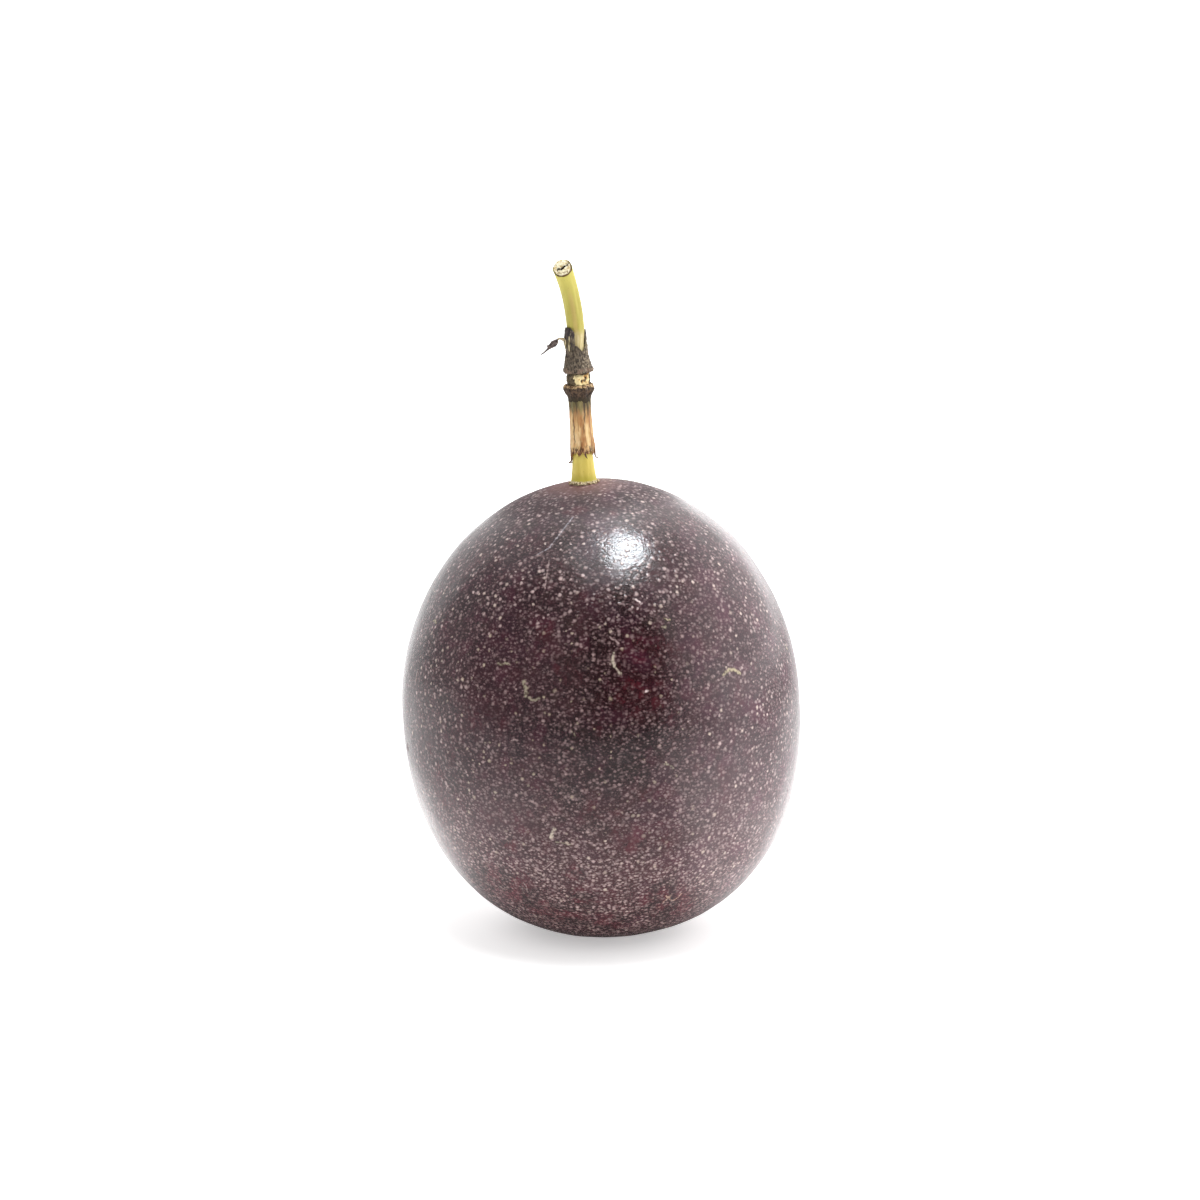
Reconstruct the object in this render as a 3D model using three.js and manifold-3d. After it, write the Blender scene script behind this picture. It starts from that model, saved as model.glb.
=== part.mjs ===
// A whole purple passion fruit (Passiflora edulis), picked with its stem and standing on its flat spot.
//
// Millimetres, +Z up. The origin lies on the surface that the fruit stands on, straight under the
// middle of its girth. -Y is the front, and the stem leans to the left, which is -X.
//
// The berry is one solid, and so is the stem, which runs from the berry through its node to the
// cut end. The other pieces are what has withered of the flower, each dried onto the stem: the
// tube of stamen filaments, the corona ring, the calyx cup, two bracts and a shred of one.

import * as THREE from 'three';
import { mergeVertices } from 'three/addons/utils/BufferGeometryUtils.js';
import Module from 'manifold-3d';

// ---- Driving dimensions ----------------------------------------------------------------------

const GIRTH = 56; // widest diameter of the berry
const STEM_END = 32.05; // from the girth up to the stem end, along the berry's own axis
const BLOSSOM_END = 32.6; // from the girth down to the blossom end
const STEM_END_FULLNESS = 2; // exponent of the outline: 2 is an ellipse, more is fuller
const BLOSSOM_END_FULLNESS = 2.28;
const BOW = 0.55; // how far both ends of the axis bow to the right of its middle
const LOBES = 3; // the berry has three carpels, which show as three faint lobes
const LOBE_HEIGHT = 0.12;
const FLAT_SPOT_RADIUS = 6;

const LEAN_LEFT = THREE.MathUtils.degToRad(3.6);
const LEAN_FORWARD = THREE.MathUtils.degToRad(2);

const STEM_SEAT_OFFSET = 0.2; // how far left of the berry's axis the stem grows
const STEM_STRAIGHTENS = THREE.MathUtils.degToRad(0.6); // the stem leans that much less than the berry
const STEM_LENGTH = 30.4;
const BEND_START = 20.6; // the stem is straight up to here, then it bends as an arc
const BEND_RADIUS = 23.5;
const BEND_TOWARDS = THREE.MathUtils.degToRad(228); // to the front left, seen from above
const CUT_SLANT = THREE.MathUtils.degToRad(26);
const CUT_FACES = THREE.MathUtils.degToRad(275); // the way that the slanting cut looks

const CLEARANCE = 0.15; // between the stem and what is dried onto it
const SIDES_OF_BERRY = 56;
const STEPS_OF_BERRY = 32;
const SIDES_OF_STEM = 20;

// ---- Materials -------------------------------------------------------------------------------

const finish = (color, roughness) => new THREE.MeshStandardMaterial({ color, roughness, metalness: 0 });
const rind = finish(0x4a3037, 0.35);
const greenStem = finish(0xc6b755, 0.5);
const tanFilaments = finish(0xc69a66, 0.7);
const brownCorona = finish(0x7d5c48, 0.85);
const darkCalyx = finish(0x554640, 0.85);
const blackBract = finish(0x3a3032, 0.8);

// ---- Solids ----------------------------------------------------------------------------------

const wasm = await Module();
wasm.setup();

/** A closed geometry as a manifold-3d solid. */
function solidOf(geometry) {
  const bare = geometry.clone();
  bare.deleteAttribute('normal');
  bare.deleteAttribute('uv');
  const merged = mergeVertices(bare, 1e-4);
  return new wasm.Manifold(
    new wasm.Mesh({
      numProp: 3,
      vertProperties: new Float32Array(merged.attributes.position.array),
      triVerts: new Uint32Array(merged.index.array),
    }),
  );
}

/** A manifold-3d solid as a geometry. */
function geometryOf(solid) {
  const mesh = solid.getMesh();
  const geometry = new THREE.BufferGeometry();
  geometry.setAttribute('position', new THREE.BufferAttribute(mesh.vertProperties, 3));
  geometry.setIndex(new THREE.BufferAttribute(mesh.triVerts, 1));
  geometry.computeVertexNormals();
  return geometry;
}

/** Moves every vertex of a geometry by a function that changes the vertex it is given. */
function reshape(geometry, change) {
  const { position } = geometry.attributes;
  const vertex = new THREE.Vector3();
  for (let i = 0; i < position.count; i += 1) {
    vertex.fromBufferAttribute(position, i);
    change(vertex);
    position.setXYZ(i, vertex.x, vertex.y, vertex.z);
  }
  geometry.computeVertexNormals();
  return geometry;
}

/** A round solid about +Z. Its outline is [radius, height] pairs, up the outside. */
function turned(outline, sides) {
  const points = outline.map(([radius, height]) => new THREE.Vector2(radius, height));
  return new THREE.LatheGeometry(points, sides).rotateX(Math.PI / 2);
}

/** A ring about +Z, between two outlines that both run upwards. */
function sleeve(outside, inside) {
  const outline = [...outside, ...inside.toReversed(), outside[0]];
  return turned(outline, SIDES_OF_STEM);
}

// ---- The berry -------------------------------------------------------------------------------

/** Half the berry's outline as a superellipse, from the blossom end up to the stem end. */
function berryOutline() {
  const points = [];
  for (let i = 0; i <= STEPS_OF_BERRY; i += 1) {
    const angle = (Math.PI * i) / STEPS_OF_BERRY;
    const [out, up] = [Math.sin(angle), -Math.cos(angle)];
    const [length, fullness] = up > 0 ? [STEM_END, STEM_END_FULLNESS] : [BLOSSOM_END, BLOSSOM_END_FULLNESS];
    const reach = (out ** fullness + Math.abs(up) ** fullness) ** (-1 / fullness);
    const onAxis = i === 0 || i === STEPS_OF_BERRY;
    points.push([onAxis ? 0 : (GIRTH / 2) * reach * out, length * reach * up]);
  }
  return points;
}

/** How high the middle of the girth is when the berry stands on a flat spot of that radius. */
function girthHeight() {
  const share = (2 * FLAT_SPOT_RADIUS) / GIRTH;
  return BLOSSOM_END * (1 - share ** BLOSSOM_END_FULLNESS) ** (1 / BLOSSOM_END_FULLNESS);
}

/** The three faint lobes and the bow of the axis. */
function growUnevenly(vertex) {
  const radius = Math.hypot(vertex.x, vertex.y);
  const around = Math.atan2(vertex.y, vertex.x);
  const lobed = 1 + (LOBE_HEIGHT / GIRTH) * 2 * (radius / (GIRTH / 2)) * Math.cos(LOBES * around);
  const length = vertex.z > 0 ? STEM_END : BLOSSOM_END;
  vertex.x = vertex.x * lobed + BOW * (vertex.z / length) ** 2;
  vertex.y *= lobed;
}

/** The berry in its own frame, cut flat by the surface that it stands on. */
function berry(frameOfBerry) {
  const whole = reshape(turned(berryOutline(), SIDES_OF_BERRY), growUnevenly);
  const ground = new THREE.BoxGeometry(2 * GIRTH, 2 * GIRTH, GIRTH).translate(0, 0, -GIRTH / 2);
  ground.applyMatrix4(frameOfBerry.clone().invert());
  return geometryOf(solidOf(whole).subtract(solidOf(ground)));
}

// ---- The stem line ---------------------------------------------------------------------------

/** Bends what was made straight up +Z so that it follows the stem: straight, then an arc. */
function alongStem(geometry) {
  const [towardsX, towardsY] = [Math.cos(BEND_TOWARDS), Math.sin(BEND_TOWARDS)];
  return reshape(geometry, (vertex) => {
    const turn = Math.max(0, vertex.z - BEND_START) / BEND_RADIUS;
    const inwards = vertex.x * towardsX + vertex.y * towardsY;
    const sideways = vertex.y * towardsX - vertex.x * towardsY;
    const radius = BEND_RADIUS - inwards;
    const along = BEND_RADIUS - radius * Math.cos(turn);
    vertex.x = along * towardsX - sideways * towardsY;
    vertex.y = along * towardsY + sideways * towardsX;
    vertex.z = Math.min(vertex.z, BEND_START) + radius * Math.sin(turn);
  });
}

/** The stem: the flared foot on the berry, the column, the swollen node, and the green stalk. */
function stem() {
  const outline = [
    [0, CLEARANCE],
    [1.78, CLEARANCE],
    [1.68, 0.8],
    [1.55, 2],
    [1.44, 3.2],
    [1.34, 4.2],
    [1.24, 6],
    [1.22, 11.4],
    [1.36, 12.4],
    [1.64, 13.8],
    [1.7, 14.6],
    [1.58, 15.3],
    [1.25, 16.2],
    [1.2, 19],
    [1.2, 20.6],
    [1.21, 22.6],
    [1.22, 24.6],
    [1.23, 26.6],
    [1.26, 28.6],
    [1.36, STEM_LENGTH + 1],
    [0, STEM_LENGTH + 1],
  ];
  const knife = new THREE.BoxGeometry(20, 20, 10).translate(0, 0, 5);
  knife.rotateY(CUT_SLANT).rotateZ(CUT_FACES).translate(0, 0, STEM_LENGTH);
  const straight = solidOf(turned(outline, SIDES_OF_STEM)).subtract(solidOf(knife));
  return alongStem(geometryOf(straight));
}

// ---- The withered flower ---------------------------------------------------------------------

/** The tapering end of one filament, which curls away from the berry's axis as it comes down. */
function filamentEnd({ above, length, curl }) {
  const end = new THREE.ConeGeometry(0.18, length, 8, 5).rotateX(-Math.PI / 2);
  end.translate(0, 0, above - length / 2);
  return reshape(end, (vertex) => {
    vertex.x += curl * (above - vertex.z) ** 2;
  });
}

/** The tube of five joined filaments. Where it tore off below, each one left a curling end. */
function filamentTube() {
  const mouth = 3.9;
  const outside = [
    [1.74, mouth],
    [1.68, 5],
    [1.57, 7.6],
    [1.48, 10],
    [1.56, 11.5],
  ];
  const inside = [
    [1.37 + CLEARANCE, mouth],
    [1.29 + CLEARANCE, 5],
    [1.23 + CLEARANCE, 7.6],
    [1.22 + CLEARANCE, 10],
    [1.24 + CLEARANCE, 11.5],
  ];
  const ends = [
    { above: 2.2, length: 2.7, curl: 0.06 },
    { above: 0.4, length: 0.9, curl: 0.25 },
    { above: 0.4, length: 1.2, curl: 0.2 },
    { above: 0.4, length: 1.2, curl: 0.25 },
    { above: 0.6, length: 1.0, curl: 0.15 },
  ];
  const firstEnd = THREE.MathUtils.degToRad(-13);
  let tube = solidOf(sleeve(outside, inside));
  ends.forEach((end, i) => {
    const tapering = filamentEnd(end).translate(1.65, 0, mouth);
    tapering.rotateZ(firstEnd + (2 * Math.PI * i) / ends.length);
    tube = tube.add(solidOf(tapering));
  });
  return geometryOf(tube);
}

/** The flared ring that the corona stood on. */
function coronaRing() {
  const outside = [
    [1.58, 11.65],
    [1.7, 12.1],
    [2.16, 13.05],
    [2.08, 13.4],
    [1.92, 13.7],
  ];
  const inside = [
    [1.26 + CLEARANCE, 11.65],
    [1.36 + CLEARANCE, 12.4],
    [1.62 + CLEARANCE, 13.7],
  ];
  return sleeve(outside, inside);
}

/** The calyx cup: a dry cone about the stem, open towards the berry. */
function calyxCup() {
  const outside = [
    [1.98, 15.65],
    [2.05, 15.95],
    [1.86, 16.5],
    [1.63, 17.6],
    [1.48, 18.8],
  ];
  const inside = [
    [1.56 + CLEARANCE, 15.65],
    [1.25 + CLEARANCE, 16.4],
    [1.2 + CLEARANCE, 18.8],
  ];
  return sleeve(outside, inside);
}

/** What is left of a bract: a scale that hugs the stem between two angles, seen from above. */
function bractScale({ from, to, thickness, bottom, top }) {
  const inner = 1.2 + CLEARANCE;
  const outline = new THREE.Shape();
  outline.absarc(0, 0, inner + thickness, from, to, false);
  outline.absarc(0, 0, inner, to, from, true);
  outline.closePath();
  const scale = new THREE.ExtrudeGeometry(outline, {
    depth: top - bottom,
    steps: 3,
    curveSegments: 6,
    bevelEnabled: false,
  });
  return alongStem(scale.translate(0, 0, bottom));
}

/** The dry shred that hangs from the left bract on a thread. */
function bractShred() {
  const path = new THREE.CatmullRomCurve3([
    new THREE.Vector3(-1.85, -0.5, 20.5),
    new THREE.Vector3(-2.4, -0.6, 20.45),
    new THREE.Vector3(-3.1, -0.6, 19.85),
    new THREE.Vector3(-3.85, -0.6, 19.1),
    new THREE.Vector3(-4.7, -0.6, 18.5),
  ]);
  const section = new THREE.Shape();
  section.absellipse(0, 0, 0.16, 0.24, 0, 2 * Math.PI);
  return new THREE.ExtrudeGeometry(section, { steps: 14, curveSegments: 4, extrudePath: path });
}

// ---- The object ------------------------------------------------------------------------------

function piece(name, geometry, material) {
  const mesh = new THREE.Mesh(geometry, material);
  mesh.name = name;
  return mesh;
}

const leaning = new THREE.Group();
leaning.rotation.set(LEAN_FORWARD, -LEAN_LEFT, 0);
leaning.position.z = girthHeight();
leaning.updateMatrix();
leaning.add(piece('fruit', berry(leaning.matrix), rind));

const onSeat = new THREE.Group();
onSeat.position.set(-STEM_SEAT_OFFSET, 0, STEM_END);
onSeat.rotation.y = STEM_STRAIGHTENS;
onSeat.add(
  piece('stem', stem(), greenStem),
  piece('filament_tube', filamentTube(), tanFilaments),
  piece('corona_ring', coronaRing(), brownCorona),
  piece('calyx_cup', calyxCup(), darkCalyx),
  piece(
    'bract_left',
    bractScale({ from: 2.8, to: 4.55, thickness: 0.3, bottom: 18.95, top: 21.8 }),
    blackBract,
  ),
  piece(
    'bract_right',
    bractScale({ from: -0.7, to: 0.3, thickness: 0.24, bottom: 18.95, top: 21.3 }),
    blackBract,
  ),
  piece('bract_shred', bractShred(), blackBract),
);
leaning.add(onSeat);

const passionFruit = new THREE.Group();
passionFruit.add(leaning);

export default passionFruit;
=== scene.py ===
import math
import random

import bmesh
import bpy
from mathutils import Matrix, Vector, noise
from mathutils.bvhtree import BVHTree
from mathutils.geometry import intersect_point_line
from mathutils.kdtree import KDTree


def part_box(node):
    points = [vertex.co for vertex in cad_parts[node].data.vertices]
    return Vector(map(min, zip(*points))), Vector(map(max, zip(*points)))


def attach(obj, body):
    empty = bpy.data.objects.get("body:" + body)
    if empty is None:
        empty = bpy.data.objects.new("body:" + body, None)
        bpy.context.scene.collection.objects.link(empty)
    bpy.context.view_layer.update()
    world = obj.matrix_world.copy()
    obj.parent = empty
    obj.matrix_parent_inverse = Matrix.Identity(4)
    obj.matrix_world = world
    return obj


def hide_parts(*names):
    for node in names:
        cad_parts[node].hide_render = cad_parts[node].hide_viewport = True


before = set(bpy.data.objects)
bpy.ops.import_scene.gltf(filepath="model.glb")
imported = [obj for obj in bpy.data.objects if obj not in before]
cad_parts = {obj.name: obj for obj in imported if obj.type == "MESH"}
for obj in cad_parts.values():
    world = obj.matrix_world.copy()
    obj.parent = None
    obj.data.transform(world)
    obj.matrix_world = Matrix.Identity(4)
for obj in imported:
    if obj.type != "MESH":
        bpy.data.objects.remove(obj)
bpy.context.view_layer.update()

# ---- The berry -----------------------------------------------------------------------------------
# A tough waxy rind over the pulp, grown in one piece. It ripened to a dark purple that is broken
# by pale breathing pores, a few healed scratches and maroon patches, and it has pressed itself
# flat at the blossom end, where it rests.

MM = 0.001

GIRTH = (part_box("fruit")[1].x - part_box("fruit")[0].x) / MM
STEM_END = 32.05
BLOSSOM_END = 32.6
STEM_END_FULLNESS = 2.0
BLOSSOM_END_FULLNESS = 2.28
BOW = 0.55
LOBES = 3
LOBE_HEIGHT = 0.12
FLAT_SPOT_RADIUS = 6.0
FLAT_SPOT_SOFTNESS = 0.12
LEAN_LEFT = math.radians(3.6)
LEAN_FORWARD = math.radians(2.0)

flat_share = 2 * FLAT_SPOT_RADIUS / GIRTH
girth_height = BLOSSOM_END * (1 - flat_share**BLOSSOM_END_FULLNESS) ** (1 / BLOSSOM_END_FULLNESS)
berry_stance = (
    Matrix.Translation((0, 0, girth_height))
    @ Matrix.Rotation(LEAN_FORWARD, 4, "X")
    @ Matrix.Rotation(-LEAN_LEFT, 4, "Y")
)


def unevenness(point, size, octaves=3):
    """A growth's own irregularity at a point, from about -1 to 1, in lumps of about that size."""
    return noise.fractal(point / size, 1.0, 2.0, octaves)


def smooth_step(low, high, value):
    """Rises from 0 at low to 1 at high. It falls where high is the smaller one."""
    share = min(max((value - low) / (high - low), 0.0), 1.0)
    return share * share * (3 - 2 * share)


class Wire:
    """A value that runs through a material's nodes. Sums on wires add the Math nodes for them."""

    def __init__(self, socket):
        self.socket = socket

    def node(self, kind, settings=None, inputs=None, output=0):
        """Adds a node of any other kind, set up first and then fed, and gives one of its outputs."""
        made = self.socket.id_data.nodes.new(kind)
        for name, value in (settings or {}).items():
            if name == "stops":
                ramp = made.color_ramp
                while len(ramp.elements) < len(value):
                    ramp.elements.new(0.5)
                for element, (position, colour) in zip(ramp.elements, value):
                    element.position = position
                    element.color = colour
            else:
                setattr(made, name, value)
        for name, value in (inputs or {}).items():
            if isinstance(value, Wire):
                made.id_data.links.new(value.socket, made.inputs[name])
            else:
                made.inputs[name].default_value = value
        return Wire(made.outputs[output])

    def math(self, operation, *values):
        return self.node("ShaderNodeMath", {"operation": operation}, dict(enumerate(values)))

    def __add__(self, other):
        return self.math("ADD", self, other)

    def __sub__(self, other):
        return self.math("SUBTRACT", self, other)

    def __rsub__(self, other):
        return self.math("SUBTRACT", other, self)

    def __mul__(self, other):
        return self.math("MULTIPLY", self, other)

    def __truediv__(self, other):
        return self.math("DIVIDE", self, other)

    def __pow__(self, other):
        return self.math("POWER", self, other)

    __radd__ = __add__
    __rmul__ = __mul__

    def vector(self, operation, *values, output=0):
        """The wire as a vector, with others, in one Vector Math node. A last plain number scales it."""
        inputs = dict(enumerate((self, *values)))
        if operation == "SCALE":
            inputs = {0: self, "Scale": values[0]}
        return self.node("ShaderNodeVectorMath", {"operation": operation}, inputs, output)

    def between(self, low, high):
        """Smoothly from 0 where the wire is low or less to 1 where it is high or more."""
        settings = {"interpolation_type": "SMOOTHSTEP"}
        if low > high:
            return 1 - self.between(high, low)
        inputs = {"Value": self, "From Min": low, "From Max": high}
        return self.node("ShaderNodeMapRange", settings, inputs)

    def either(self, other):
        """The larger of two masks."""
        return self.math("MAXIMUM", self, other)

    def noise(self, size, detail=3.0, roughness=0.55):
        """Cloudy noise about a place, from 0 to 1, in clouds of about that size."""
        inputs = {"Vector": self, "Scale": 1 / size, "Detail": detail, "Roughness": roughness}
        return self.node("ShaderNodeTexNoise", None, inputs, "Fac")

    def jittered(self, size, reach):
        """A place pushed about by up to that reach, in swirls of about that size."""
        inputs = {"Vector": self, "Scale": 1 / size, "Detail": 2.0}
        push = self.node("ShaderNodeTexNoise", None, inputs, "Color")
        push = push.vector("SUBTRACT", (0.5, 0.5, 0.5)).vector("SCALE", 2 * reach)
        return self.vector("ADD", push)

    def colour(self, under, over):
        """A colour mixed by the wire: `under` where it is 0 and `over` where it is 1."""
        settings = {"data_type": "RGBA"}
        return self.node("ShaderNodeMix", settings, {0: self, 6: under, 7: over}, 2)


class Finish:
    """A material on one principled surface. Its colours are given as they look, from 0 to 255."""

    def __init__(self, name, **fixed):
        self.material = bpy.data.materials.new(name)
        self.material.use_nodes = True
        nodes = self.material.node_tree.nodes
        self.surface = nodes["Principled BSDF"]
        for socket, value in fixed.items():
            self.surface.inputs[socket.replace("_", " ")].default_value = value
        coordinates = Wire(nodes.new("ShaderNodeTexCoord").outputs["Object"])
        self.place = coordinates.vector("SCALE", 1 / MM)

    def attribute(self, name, output="Vector"):
        """Something that the mesh carries, at each place."""
        return self.place.node("ShaderNodeAttribute", {"attribute_name": name}, None, output)

    def set(self, colour, roughness, height, bump=1.0):
        """What varies over the surface. The height of its relief is in millimetres."""
        bumped = {"Height": height, "Distance": MM, "Strength": bump}
        normal = self.place.node("ShaderNodeBump", None, bumped, "Normal")
        links = self.material.node_tree.links
        links.new(colour.socket, self.surface.inputs["Base Color"])
        links.new(roughness.socket, self.surface.inputs["Roughness"])
        links.new(normal.socket, self.surface.inputs["Normal"])


def rgb(red, green, blue):
    """A colour as a screen shows it, turned into the amounts of light that shaders take."""
    return tuple(
        (part / 255 / 12.92) if part <= 10 else ((part / 255 + 0.055) / 1.055) ** 2.4
        for part in (red, green, blue)
    ) + (1.0,)


def stand(name, mesh, finish, slot, *replaced):
    """Makes a grown mesh, in millimetres where it stands, one piece that rides with the fruit."""
    bmesh.ops.transform(mesh, matrix=Matrix.Scale(MM, 4), verts=mesh.verts)
    for face in mesh.faces:
        face.smooth = True
    data = bpy.data.meshes.new(name)
    mesh.to_mesh(data)
    mesh.free()
    piece = bpy.data.objects.new(name, data)
    bpy.context.scene.collection.objects.link(piece)
    data.materials.append(finish.material)
    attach(piece, "root")
    if replaced:
        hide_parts(*replaced)
    return piece


def grow_berry(vertex):
    """Takes a point of the unit ball to where the rind has it."""
    out, up = math.hypot(vertex.x, vertex.y), vertex.z
    around = math.atan2(vertex.y, vertex.x)
    length, fullness = (STEM_END, STEM_END_FULLNESS) if up > 0 else (BLOSSOM_END, BLOSSOM_END_FULLNESS)
    reach = (out**fullness + abs(up) ** fullness) ** (-1 / fullness)
    radius = GIRTH / 2 * reach * out
    height = length * reach * up
    radius += LOBE_HEIGHT * (2 * radius / GIRTH) ** 2 * math.cos(LOBES * around)
    grown = Vector((radius * math.cos(around), radius * math.sin(around), height))
    grown.x += BOW * (height / length) ** 2
    swell = 0.09 * unevenness(grown, 9.0) + 0.02 * unevenness(grown, 2.6, 2)
    blossom_scar = smooth_step(2.2, 0.4, out * GIRTH / 2) if up < 0 else 0
    grown += vertex.normalized() * (swell + 0.25 * blossom_scar)
    standing = berry_stance @ grown
    standing.z = 0.5 * (standing.z + math.hypot(standing.z, FLAT_SPOT_SOFTNESS))
    return standing


rind_mesh = bmesh.new()
bmesh.ops.create_icosphere(rind_mesh, subdivisions=7, radius=1)
for vertex in rind_mesh.verts:
    vertex.co = grow_berry(vertex.co)
lowest = min(vertex.co.z for vertex in rind_mesh.verts)
bmesh.ops.translate(rind_mesh, verts=rind_mesh.verts, vec=(0, 0, -lowest))
smooth_rind = BVHTree.FromBMesh(rind_mesh)


def on_rind(around, up):
    """The point of the rind at so many degrees to the right of the front and so high up."""
    turn = math.radians(around)
    outwards = Vector((math.sin(turn), -math.cos(turn), 0))
    return smooth_rind.ray_cast(Vector((0, 0, up)), outwards)[0]


# Healed scratches and pits. Each wanders a little over the rind from where it starts, as a twig or
# a leaf's edge drags over a fruit while it grows.

PALE_SKIN = (176, 150, 148)
PALE_GREEN = (160, 149, 126)
STRAW = (190, 176, 142)
RUST = (208, 172, 150)
ASH = (192, 178, 160)
PINK = (236, 214, 212)
# GLINT_WHITE is a painted glint: the bluish white of the round lamp, painted along the long raised scratch high on
# the front.
GLINT_WHITE = (210, 204, 214)
DARK = (44, 28, 28)


def wandering(draw, around, up, heading, length, thin, thick):
    """The way of a scar over the rind: (around, up, half its width) at four places."""
    way = []
    for step in range(4):
        way.append((around, up, draw.uniform(thin, thick)))
        heading += draw.uniform(-0.6, 0.6)
        around += math.degrees(length / 3 * math.cos(heading) / (GIRTH / 2))
        up += length / 3 * math.sin(heading)
    return way


# Where each starts, its heading in degrees (0 to the right, 90 up), its length and half its width,
# its colour, how strongly it shows and how far it stands proud.
front_scars = (
    (-17, 61, 223, 7, 0.1, GLINT_WHITE, 0.6, 0.1),
    (-21, 56, 300, 3.5, 0.12, PALE_SKIN, 0.7, 0.02),
    (-42, 51, 310, 1, 0.12, PALE_SKIN, 0.7, 0.02),
    (-21, 48, 270, 1, 0.12, PALE_SKIN, 0.5, 0.01),
    (-31, 43, 330, 2, 0.24, PALE_GREEN, 0.9, 0.03),
    (-22, 41, 300, 2, 0.36, PALE_GREEN, 0.85, 0.04),
    (-20, 39, 300, 1.5, 0.26, PALE_GREEN, 0.8, 0.03),
    (3, 47, 300, 1.5, 0.14, PALE_SKIN, 0.7, 0.02),
    (4, 45, 290, 3, 0.3, ASH, 0.9, 0.04),
    (38, 41, 10, 3.5, 0.34, STRAW, 0.85, 0.04),
    (14, 51, 100, 1, 0.16, PINK, 0.9, 0.03),
    (21, 49, 0, 1, 0.16, STRAW, 0.8, 0.02),
    (20, 48, 0, 0.5, 0.24, PALE_GREEN, 0.8, 0.02),
    (13, 40, 0, 0.2, 0.15, PINK, 0.9, 0.03),
    (-13, 21, 270, 1.5, 0.42, ASH, 0.95, 0.05),
    (-13, 19, 0, 2.5, 0.12, PALE_GREEN, 0.8, 0.02),
    (-17, 15, 10, 1.5, 0.1, PALE_SKIN, 0.7, 0.01),
    (-27, 12, 285, 1.5, 0.08, PALE_SKIN, 0.7, 0.01),
    (-25, 33, 45, 1, 0.12, PALE_SKIN, 0.7, 0.02),
    (-8, 35, 330, 1, 0.1, PALE_GREEN, 0.7, 0.02),
    (18, 30, 0, 1.5, 0.12, PALE_GREEN, 0.75, 0.02),
    (24, 10, 340, 1.5, 0.14, RUST, 0.75, 0.03),
    (26, 10, 250, 1.5, 0.14, RUST, 0.6, 0.03),
    (27, 9, 330, 2, 0.12, RUST, 0.7, 0.02),
    (71, 22, 0, 0.2, 0.26, DARK, 0.8, -0.05),
    (-75, 28, 270, 1, 0.3, DARK, 0.8, -0.22),
)
marks = []
drag = random.Random(3)
for around, up, heading, length, width, colour, strength, proud in front_scars:
    way = wandering(drag, around, up, math.radians(heading), length, 0.4 * width, width)
    marks.append((way, colour, strength, proud))
chance = random.Random(7)
for _ in range(26):
    around, up = chance.uniform(62, 300), chance.uniform(10, 56)
    heading, length = chance.uniform(0, 2 * math.pi), chance.uniform(0.5, 4.5)
    way = wandering(chance, around, up, heading, length, 0.06, 0.3)
    colour = chance.choice((PALE_SKIN, PALE_SKIN, PALE_GREEN, STRAW))
    marks.append((way, colour, chance.uniform(0.5, 0.9), 0.03))

strokes = []
for way, colour, strength, proud in marks:
    for (around, up, width), (next_around, next_up, next_width) in zip(way, way[1:]):
        ends = on_rind(around, up), on_rind(next_around, next_up)
        strokes.append((*ends, width, next_width, colour, strength, proud))
marked = KDTree(sum(1 + int((end - start).length / 0.25) for start, end, *_ in strokes))
for number, (start, end, *_) in enumerate(strokes):
    steps = 1 + int((end - start).length / 0.25)
    for step in range(steps):
        marked.insert(start.lerp(end, (step + 0.5) / steps), number)
marked.balance()

for reach in (1.0, 0.75):
    close = [edge for edge in rind_mesh.edges if marked.find((edge.verts[0].co + edge.verts[1].co) / 2)[2] < reach]
    bmesh.ops.subdivide_edges(rind_mesh, edges=close, cuts=1, use_grid_fill=True)
bmesh.ops.triangulate(rind_mesh, faces=[face for face in rind_mesh.faces if len(face.verts) > 3])
MARK_BREADTH = 0.92

rind_mesh.normal_update()
mark_layer = rind_mesh.verts.layers.float_color.new("marks")
for vertex in rind_mesh.verts:
    ragged = vertex.co + 0.12 * noise.noise_vector(vertex.co / 0.35)
    shown, lift, tint = 0.0, 0.0, (0.0, 0.0, 0.0)
    for number in {found[1] for found in marked.find_range(ragged, 0.7)}:
        start, end, width, next_width, colour, strength, proud = strokes[number]
        foot, share = intersect_point_line(ragged, start, end) if start != end else (start, 0)
        share = min(max(share, 0), 1)
        away = (ragged - start.lerp(end, share)).length
        half = MARK_BREADTH * (width + (next_width - width) * share)
        strength *= smooth_step(half + 0.08, half * 0.4, away)
        if strength > shown:
            shown, tint = strength, rgb(*colour)[:3]
        if abs(proud) * strength > abs(lift):
            lift = proud * strength
    vertex[mark_layer] = (*tint, shown * min(max(0.74 + 1.4 * noise.noise(vertex.co / 0.26), 0.2), 1))
    vertex.co += vertex.normal * lift


rind = Finish("rind", IOR=1.5)


def lenticels(place, spacing, reach, seed):
    """Pale pores that fade out from their middles, and a wire that differs from pore to pore."""
    moved = place.vector("ADD", (seed, seed, seed))
    inputs = {"Vector": moved, "Scale": 1 / spacing, "Randomness": 1.0}
    distance = moved.node("ShaderNodeTexVoronoi", None, inputs, "Distance") * spacing
    colour = moved.node("ShaderNodeTexVoronoi", None, inputs, "Color")
    chance = colour.node("ShaderNodeSeparateColor", None, {"Color": colour}, "Red")
    size = reach * (0.6 + 0.6 * colour.node("ShaderNodeSeparateColor", None, {"Color": colour}, "Green"))
    return (distance / size).between(1, 0.2) * (0.3 + 0.7 * chance), chance


def blotch(place, around, up, size, core=0.25):
    """A round patch with a soft ragged edge."""
    away = place.vector("DISTANCE", tuple(on_rind(around, up)), output="Value")
    return away.between(size, size * core)


place = rind.place
height_up = place.node("ShaderNodeSeparateXYZ", None, {0: place}, "Z")
lower_half = height_up.between(32, 12)
wavering = place.jittered(0.5, 0.15).jittered(0.2, 0.09)

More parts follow.
